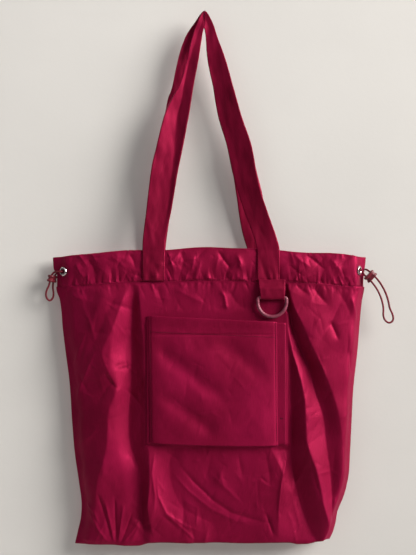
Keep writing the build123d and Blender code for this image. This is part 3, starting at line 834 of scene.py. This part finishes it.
BACK_STRAP = (
    (-79, -346.6, -50, -346.6), (-79, -325, -50, -325), (-79, -305, -50, -305), (-76, -280, -47, -280, 1),
    (-72, -245, -42, -245, 2, 0.5), (-66.5, -207, -36, -207, 2.5, 0.5), (-51.5, -136, -24, -136, 2.5, 0.5),
    (-46.5, -112, -26, -112, 3, 0.5), (-41.3, -98, -24, -98, 3, 0.5), (-33.5, -62, -16, -62, 2.5, 0.5),
    (-24.3, -34, -8, -36, 1.4, 0.4), (-11.5, -14, -2, -26, 0.4, 0.3), (0, -0.3, 0, -22, 0, 0.3),
    (9.4, -15, 1.2, -27, 0.4, 0.3), (17.2, -38, 3, -41, 1, 0.3), (26, -64, 5, -66, 1.5, 0.3),
    (36.5, -99, 12, -99, 2, 0.4), (47, -136, 20, -136, 2, 0.4), (60, -172, 30.5, -172, -1, 0.4),
    (68.5, -207, 37, -207, -3, 0.4), (75, -232, 41, -232, -3, 0.4), (77, -247, 43, -245, -2, 0.3),
    (77, -262, 45, -260, -1, 0.2), (79.5, -284, 49.5, -284), (85, -305, 56, -305), (92, -325, 63, -325),
    (95, -346.6, 66, -346.6),
)
STRAP_BEND = (-307 * MM, -297 * MM)  # the straps bend over the hem between these heights


def strap(name, stations, half, band, columns=22):
    """One strap as a band of doubled cloth, from one sewn foot over the peg to the other."""
    way = -1 if half == "front" else 1
    hem_y, peg_y = -13.0 if half == "front" else 18.0, way * 2.3
    table = np.array([(*row, *(0, 0, 0.5)[len(row) - 4:]) for row in stations])
    last = len(table) - 1
    at = np.linspace(0, last, 330)
    edges = np.stack([eased(at, np.arange(last + 1), column) for column in table.T], axis=1)
    share = np.linspace(0, 1, columns)
    points = np.zeros((len(at), columns, 3))
    for row, (out_x, out_z, in_x, in_z, lean, fold, fold_at) in enumerate(edges):
        outer = share if at[row] >= last / 2 else 1 - share
        inner = 1 - outer
        x, z = in_x + (out_x - in_x) * outer, in_z + (out_z - in_z) * outer
        y = hem_y + (peg_y - hem_y) * np.clip((z + 305) / 305, 0, 1)
        slope = np.abs(inner - fold_at) / np.where(inner < fold_at, fold_at, 1 - fold_at)
        points[row] = np.stack([x, y - lean * (outer - 0.5) * 2 + fold * (1 - slope), z], axis=1) * MM
    x, z = points[:, :, 0], points[:, :, 2]
    tree = surface_of(band)
    for row, column in zip(*np.nonzero(z < -304 * MM)):  # the sewn feet lie on the band
        start = Vector((x[row, column], way * 0.2, z[row, column]))
        hit = tree.ray_cast(start, Vector((0, -way, 0)), 0.4)
        if hit[0] is not None:
            points[row, column, 1] = hit[0].y + way * 1.0 * MM
    smoothed(points[:, :, 1], 6)
    points[:, :, 1] += ripples(x, z * 0.7, 22 * MM, 0.35 * MM, seed=31)
    points[:, :, 1] += ripples(x, z * 0.4, 9 * MM, 0.12 * MM, seed=32)
    sewn = step(z, -300 * MM, -312 * MM)
    pucker = gathers(x, z + 347.5 * MM, seed=33, height=1.1 * MM, reach=16 * MM)
    fine = crumples(x, z, 34, 150, 0.5 * MM, (4, 14), (0.9, 2.4), (-347, -304), 0.8)
    loose = crumples(x, z, 35, 330, 0.55 * MM, (8, 30), (1.2, 3.2), (-300, 0), 0.5)
    points[:, :, 1] += way * (sewn * (pucker + fine) + loose)
    if half == "back":
        points = points[:, ::-1]
    piece = thicken(grid_piece(name, points, STRAP_CLOTH), 1.3 * MM, offset=0.0)
    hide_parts(f"{half}_strap", f"{half}_strap_feet")
    hinge_y = FRONT_Y if half == "front" else BACK_Y
    start, end = [(MIDDLE_X, hinge_y, height) for height in STRAP_BEND]
    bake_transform(piece)
    return piece


front_strap = strap("front_shoulder_strap", FRONT_STRAP, "front", front_band)
back_strap = strap("back_shoulder_strap", BACK_STRAP, "back", back_band)


# --- D-ring tab ---


def ring_tab():
    """A folded strip of strap cloth, from the stitch line down round the ring's bar and up again."""
    bar_y, bar_z = (tab_low.y + tab_high.y) / 2, tab_low.z + (tab_high.y - tab_low.y) / 2
    reach = (tab_high.y - tab_low.y) / 2 - 0.35 * MM
    line = rounded([
        (FRONT_Y - 1.9 * MM, -344.5 * MM), (FRONT_Y - 2.6 * MM, -349 * MM),
        (bar_y - reach * 0.85, -356 * MM), (bar_y - reach, bar_z + 5 * MM), (bar_y - reach, bar_z + 2 * MM),
        *[(bar_y - reach * math.cos(a), bar_z - reach * math.sin(a)) for a in np.linspace(0, math.pi, 9)],
        (bar_y + reach, bar_z + 4 * MM), (bar_y + reach, -352 * MM), (FRONT_Y - 1.0 * MM, -345 * MM),
    ], 90, 5)
    share = np.linspace(0, 1, 40)
    points = np.zeros((len(line), len(share), 3))
    for row, (y, z) in enumerate(line):
        lean = 2.2 * MM * step(z, -346 * MM, bar_z)
        low_x, high_x = tab_low.x - 2.0 * MM + lean, tab_high.x + 1.4 * MM - lean * 0.6
        x = low_x + (high_x - low_x) * share
        crown = 0.35 * MM * np.sin(math.pi * share) * (y < bar_y)
        points[row] = np.stack([x, y - crown, z + 0.25 * MM * np.sin(share * 9 + 1)], axis=1)
    points[:, :, 1] += ripples(points[:, :, 0], points[:, :, 2], 11 * MM, 0.16 * MM, seed=41)
    piece = thicken(grid_piece("ring_tab", points, STRAP_CLOTH), 0.6 * MM, offset=0.0)
    on_bag(piece, "strap_fabric", "d_ring_tab")


ring_tab()


# --- Pocket ---

# Soft folds of the pocket, as (height, width, then the x and z of each point of the line)
POCKET_CREASES = (
    (-2.9, 11, -69, -424, -50, -440, -20, -462, 16, -490, 40, -505),
    (1.4, 17, -50, -412, -20, -436, 14, -462, 44, -492),
    (-2.3, 10, -69, -486, -34, -504, 4, -532, 20, -544),
    (-2.4, 12, 12, -418, 50, -445, 88, -478),
    (1.2, 16, 40, -500, 60, -520, 80, -540),
)
POCKET_SLANT = 8 * MM  # how much lower the pocket's top is at its right end
HEM_DEPTH = 20 * MM
SIDE_SEAM = 2.4 * MM  # from the pocket's edge
BACKING_LEFT, BACKING_RIGHT = pocket_low.x - 2.5 * MM, backing_high.x
BACKING_FOOT, BACKING_TOP = pocket_low.z - 1.5 * MM, pocket_high.z - 1.0 * MM


def pocket_backing():
    """The cloth behind the pocket, flat on the bag; it shows as a strip to the pocket's right."""
    u, v = np.meshgrid(np.linspace(0, 1, 70), np.linspace(0, 1, 60))
    x = BACKING_LEFT + (BACKING_RIGHT - BACKING_LEFT) * u
    z = BACKING_TOP + (BACKING_FOOT - BACKING_TOP) * v - (1 - v) * POCKET_SLANT * (u - 0.5)
    y = backing_low.y + 0.3 * MM + ripples(x, z, 30 * MM, 0.10 * MM, seed=51)
    piece = thicken(grid_piece("pocket_backing_cloth", np.stack([x, y, z], axis=2), BAG_CLOTH), CLOTH)
    on_bag(piece, "bag_fabric", "pocket_backing")
    return piece


def pocket_cloth(rows=170, columns=180):
    """The pocket's front: baggy, sewn at its sides and foot, with a doubled hem at its open top."""
    top, foot = pocket_high.z, pocket_low.z
    left, right = pocket_low.x, pocket_high.x
    base = backing_low.y - 0.25 * MM
    levels = [*np.linspace(top, foot, rows), foot - 0.6 * MM, foot - 0.2 * MM, foot + 1.5 * MM]
    u = np.linspace(0, 1, columns)
    from_side = np.minimum(u, 1 - u)
    points = np.zeros((len(levels), columns, 3))
    for row, z in enumerate(levels):
        v = (top - z) / (top - foot)
        lean, slope = 1.3 * MM * v, 4.5 * MM * v - POCKET_SLANT
        x = left + lean * 1.5 + (right - left - lean * 0.2) * u
        side = np.clip(from_side * (right - left) / (26 * MM), 0, 1)
        across = np.sqrt(1 - (1 - side) ** 2) * (0.75 + 0.25 * np.sin(math.pi * u))
        depth = (2.2 + 3.8 * step(v, 0, 0.75) + 2.6 * bell(v, 0.06)) * MM
        out = depth * across * (1 if row < rows else (0.75, 0.35, 0.0)[row - rows])
        sag = 1.8 * MM * v**4 * np.sin(math.pi * u) ** 0.6
        points[row] = np.stack([x, base - out, z + slope * (u - 0.5) - sag], axis=1)
    x, z = points[:, :, 0], points[:, :, 2]
    soft = creases(x, z, POCKET_CREASES, bell)
    soft = soft + ripples(x, z, 42 * MM, 0.35 * MM, seed=52) + ripples(x, z, 15 * MM, 0.07 * MM, seed=53)
    soft = soft + crumples(x, z, 54, 260, 0.35 * MM, (5, 22), (1.0, 3.2), (-556, -392), 1.2)
    over_hem = z - (top - HEM_DEPTH)
    soft = soft - 0.5 * MM * bell(over_hem, 1.6 * MM) + 0.35 * MM * step(over_hem, 0, 2 * MM)
    fixed = np.clip(from_side * 9, 0, 1)[None] * step(z, foot, foot + 14 * MM)
    points[:, :, 1] -= np.maximum(soft, -3.0 * MM) * fixed
    # The stitch line down each side draws the cloth in
    points[:, :, 1] += 0.55 * MM * bell(from_side * (right - left) - SIDE_SEAM, 1.0 * MM)[None]
    piece = thicken(grid_piece("pocket_cloth", points, BAG_CLOTH), 0.45 * MM)
    on_bag(piece, "bag_fabric", "pocket_front")
    return piece


backing = pocket_backing()
pocket = pocket_cloth()


# --- Stitching ---


def straight(start, end, count=80):
    return np.linspace(start, end, count)


def sew_hem():
    x = np.linspace(LEFT_X + 6 * MM, RIGHT_X - 4 * MM, 400)
    back_x = x[(x > LEFT_X + 12 * MM) & (x < RIGHT_X - 12 * MM)]
    for name, band, x, way in (("front", front_band, x, 1), ("back", back_band, back_x, -1)):
        stitches(f"{name}_hem_stitches", band, np.stack([x, band_foot(x) + 1.2 * MM], axis=1), way)


# Middle line of each sewn foot, from its low end up, in mm; the back strap's right foot slants
FEET = {
    "front_left": ((-64.4, -345.8), (-64.4, -309.0)),
    "front_right": ((81.6, -345.8), (81.6, -309.0)),
    "back_left": ((-64.5, -345.8), (-64.5, -309.0)),
    "back_right": ((80.4, -345.8), (77.5, -325.0), (72.0, -309.0)),
}


def sew_feet():
    """Two rows up each foot and one across its low end."""
    for foot, middle_line in FEET.items():
        target, way = (front_strap, 1) if foot.startswith("front") else (back_strap, -1)
        for number, shift in enumerate((-13.0, 13.0)):
            row = [((x + shift) * MM, z * MM) for x, z in middle_line]
            stitches(f"{foot}_foot_stitches_{number}", target, row, way, 1.9 * MM, 0.9 * MM, 0.36 * MM)
        x, z = middle_line[0]
        row = straight(((x - 14) * MM, z * MM), ((x + 14) * MM, z * MM), 40)
        stitches(f"{foot}_foot_stitches_low", target, row, way)


def sew_pocket():
    edge, top = 1.4 * MM, BACKING_TOP - 5 * MM
    row = straight((BACKING_RIGHT - edge, top - edge), (BACKING_RIGHT - edge, BACKING_FOOT + edge))
    stitches("backing_right_stitches", backing, row, 1, 2.0 * MM, 0.9 * MM, 0.34 * MM)
    left, right, top, foot = pocket_low.x, pocket_high.x, pocket_high.z, pocket_low.z
    # These rows are real stitching, sewn wide and close so that their dark thread also paints the shaded
    # seam lines along the pocket's edges.
    for name, start, end in (
        ("left", (left + SIDE_SEAM, top - 1 * MM), (left + SIDE_SEAM + 1.9 * MM, foot + 2 * MM)),
        ("right", (right - SIDE_SEAM, top - 5 * MM), (right - 0.6 * MM, foot + 2 * MM)),
        ("hem", (left + 2 * MM, top - 16.4 * MM), (right - 1 * MM, top - 23.6 * MM)),
    ):
        stitches(f"pocket_{name}_stitches", pocket, straight(start, end), 1, 2.3 * MM, 0.7 * MM, 0.55 * MM)
    for number in range(4):
        z = (-520.4 - 0.45 * number) * MM
        row = straight((96.0 * MM, z), (101.6 * MM, z), 40)
        stitches(f"bar_tack_{number}", backing, row, 1, 1.7 * MM, 0.15 * MM, 0.4 * MM)


sew_hem()
sew_feet()
sew_pocket()


# --- Elastic cord loops ---

STUB = 3.6 * MM  # straight out of an eyelet
STOPPER_AT = Vector((213.5, 2.0, -340.5)) * MM
DIP, TRACK_R = math.radians(43), 66 * MM  # of the arc that the right stopper travels
STRAND = 3.9 * MM  # from a stopper's middle to each strand
TRACK_CENTRE = STOPPER_AT - Vector((math.sin(DIP), 0, math.cos(DIP))) * TRACK_R


def track_point(turn, side):
    """A point of the right loop's strands, turn degrees past the stopper."""
    angle, reach = DIP + math.radians(turn), TRACK_R + side * STRAND
    return TRACK_CENTRE + Vector((math.sin(angle), 0, math.cos(angle))) * reach


def right_route():
    """Control points of the right loop, as in part.py."""
    (start, start_out), (end, end_out) = EYELETS["front_right"], EYELETS["back_right"]
    turns = range(-7, 42, 6)
    tip = (
        (229.6, 2, -390.4), (231.8, 2, -397.2), (237.6, 2, -401.0), (242.8, 2, -397.4), (242.4, 2, -390.2),
    )
    return [
        start, start + start_out * STUB,
        *[track_point(turn, -1) for turn in turns],
        *[Vector(point) * MM for point in tip],
        *[track_point(turn, 1) for turn in reversed(turns)],
        Vector((207.6, 11.5, -331.2)) * MM, end + end_out * STUB, end,
    ]


def left_route():
    """Control points of the left loop, as in part.py."""
    (start, start_out), (end, end_out) = EYELETS["front_left"], EYELETS["back_left"]
    place = Vector((-196.0, 10.0, -343.5)) * MM
    axis = Vector((-0.2, 0, -0.98)).normalized()
    long_way = Vector((0.4, 0.9165, -0.0816)).normalized()
    front, back = place - long_way * STRAND, place + long_way * STRAND
    tip = (
        (-202.8, 7.2, -358.0), (-204.2, 8.3, -364.0), (-202.8, 9.3, -369.6), (-199.0, 10.4, -372.4),
        (-195.6, 11.6, -369.2), (-194.4, 12.8, -363.4),
    )
    return [
        start, start + start_out * STUB, front - axis * 8.5 * MM, front + axis * 9 * MM,
        *[Vector(point) * MM for point in tip],
        back + axis * 9 * MM, back - axis * 8.5 * MM, end + end_out * STUB, end,
    ]


def cord_loop(name, route, node):
    curve = bpy.data.curves.new(name, "CURVE")
    curve.dimensions = "3D"
    spline = curve.splines.new("NURBS")
    spline.points.add(len(route) - 1)
    for point, place in zip(spline.points, route):
        point.co = (*place, 1)
    spline.order_u = 3
    spline.use_endpoint_u = True
    spline.resolution_u = 8
    curve.bevel_depth = 1.25 * MM
    curve.bevel_resolution = 3
    curve.materials.append(CORD_COVER)
    piece = linked(name, curve)
    on_bag(piece, "elastic_cord", node)
    return piece


cord_loop("left_elastic_loop", left_route(), "left_cord_loop")
cord_loop("right_elastic_loop", right_route(), "right_cord_loop")


# --- Materials of the CAD pieces that show ---

def finish_cad_nodes():
    for node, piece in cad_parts.items():
        for ending, material in (
            ("eyelet", EYELET_METAL), ("washer", EYELET_METAL), ("stopper", STOPPER_PLASTIC),
            ("d_ring", RING_PAINT), ("channel_cord", CORD_COVER),
        ):
            if node.endswith(ending):
                piece.data.materials.clear()
                piece.data.materials.append(material)


finish_cad_nodes()


# --- Camera, lights and stage ---


def make_camera():
    height = 0.705  # of the picture, at the bag's front
    data = bpy.data.cameras.new("camera")
    data.lens, data.sensor_width = 71.0, 36.0
    camera = linked("camera", data)
    camera.location = (5 * MM, FRONT_Y - data.lens / data.sensor_width * height, -342 * MM)
    camera.rotation_euler = (math.radians(90), 0, 0)
    bpy.context.scene.camera = camera


def area_light(name, place, aim, size, power, colour=(1, 1, 1), spread=180):
    data = bpy.data.lights.new(name, "AREA")
    data.shape, data.size, data.energy, data.color = "DISK", size, power, colour
    data.spread = math.radians(spread)
    light = linked(name, data)
    light.location = place
    light.rotation_euler = (Vector(aim) - Vector(place)).to_track_quat("-Z", "Y").to_euler()


def one_sided(name, colour):
    """Pale plaster that shows on its front only and blocks no light."""
    nodes = Nodes(name)
    place = nodes.place()
    mottle = nodes.noise(place, 6.0, 5.0)
    tone = nodes.ramp(mottle, (0.3, tuple(c * 0.95 for c in colour)), (0.7, colour))
    grain = nodes.bump(nodes.noise(place, 220.0, 4.0), 0.15, 0.5 * MM)
    nodes.set(Base_Color=tone, Roughness=0.9, Normal=grain)
    nodes.set(Emission_Color=(*colour, 1), Emission_Strength=0.16)  # light from the rest of the room
    back = nodes.add("ShaderNodeNewGeometry").outputs["Backfacing"]
    shadow = nodes.add("ShaderNodeLightPath").outputs["Is Shadow Ray"]
    clear = nodes.add("ShaderNodeBsdfTransparent").outputs[0]
    unseen = nodes.math("MAXIMUM", back, shadow)
    mix = nodes.add("ShaderNodeMixShader", {0: unseen, 1: nodes.shader.outputs[0], 2: clear})
    nodes.tree.links.new(mix.outputs[0], nodes.tree.nodes["Material Output"].inputs[0])
    return nodes.material


def make_stage():
    """A pale wall close behind the bag that curves out into a floor well below it."""
    wall_y, floor_z, bend, reach = BACK_Y + 7 * MM, -1.35, 0.25, 2.2
    turns = np.linspace(0, math.pi / 2, 10)
    corner = [(wall_y - bend * (1 - math.cos(a)), floor_z + bend * (1 - math.sin(a))) for a in turns]
    profile = np.array([(wall_y, 1.4), *corner, (-3.0, floor_z)])
    points = np.zeros((len(profile), 3, 3))
    points[:, :, 0] = (-reach, 0, reach)
    points[:, :, 1:] = profile[:, None]
    grid_piece("backdrop", points, one_sided("plaster", (0.53, 0.51, 0.485)))


make_camera()
make_stage()
area_light("key", (2.9, -1.45, 1.4), (-0.4, 0, 0.15), 2.6, 64, (1.0, 0.98, 0.95), spread=66)
area_light("fill", (-1.5, -1.9, 0.9), (0.0, 0, -0.35), 1.6, 7, (0.95, 0.97, 1.0))
area_light("behind", (-0.6, 1.9, 0.5), (0.0, 0, -0.35), 1.6, 36)
world = bpy.data.worlds.new("world")
world.use_nodes = True
background = world.node_tree.nodes["Background"].inputs
background["Color"].default_value, background["Strength"].default_value = (0.90, 0.92, 0.95, 1), 0.17
bpy.context.scene.world = world
bpy.context.scene.view_settings.view_transform = "Standard"
